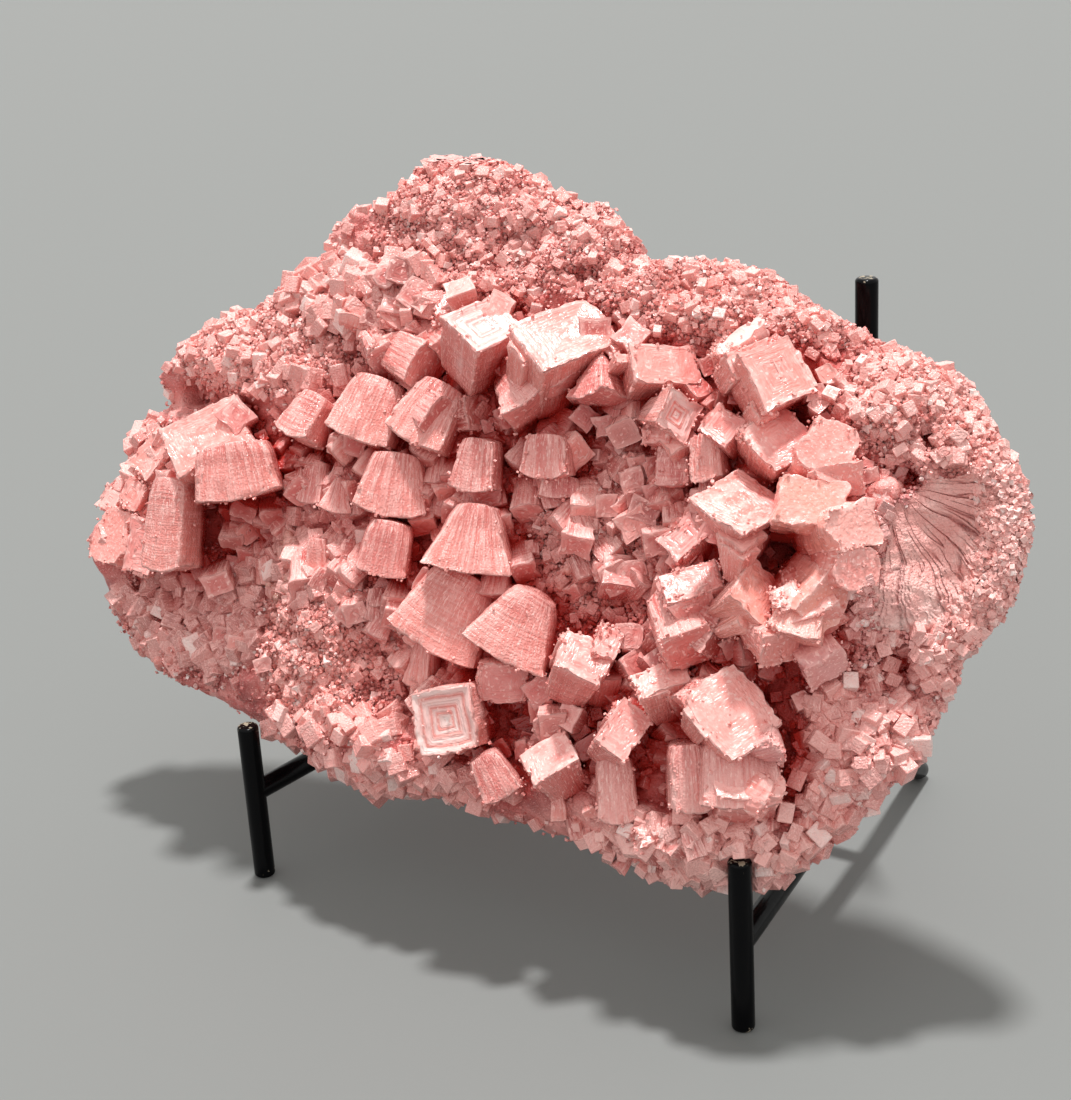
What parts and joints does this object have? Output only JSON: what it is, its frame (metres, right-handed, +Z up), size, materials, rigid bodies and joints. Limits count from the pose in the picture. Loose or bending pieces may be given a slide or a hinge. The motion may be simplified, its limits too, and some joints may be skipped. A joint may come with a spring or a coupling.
{
  "type": "halite cluster on a stand",
  "caption": "Slab of pink halite crystals leaning back on a black easel stand bent from round steel bar.",
  "frame": {"origin": "middle of the footprint, on the surface the stand rests on", "axes": "+X along the slab's width, to the right as seen from its front; the crystals face -Y; +Z up"},
  "size_m": [0.3082, 0.1654, 0.2052],
  "materials": {
    "salt": "frosted to glassy, slightly translucent pink salt",
    "stand_paint": "gloss black paint"
  },
  "bodies": {
    "root": {"halite_cluster": "salt", "left_front_post": "stand_paint", "right_front_post": "stand_paint", "left_arm": "stand_paint", "right_arm": "stand_paint", "left_upright": "stand_paint", "right_upright": "stand_paint", "crossbar": "stand_paint"}
  },
  "joints": []
}
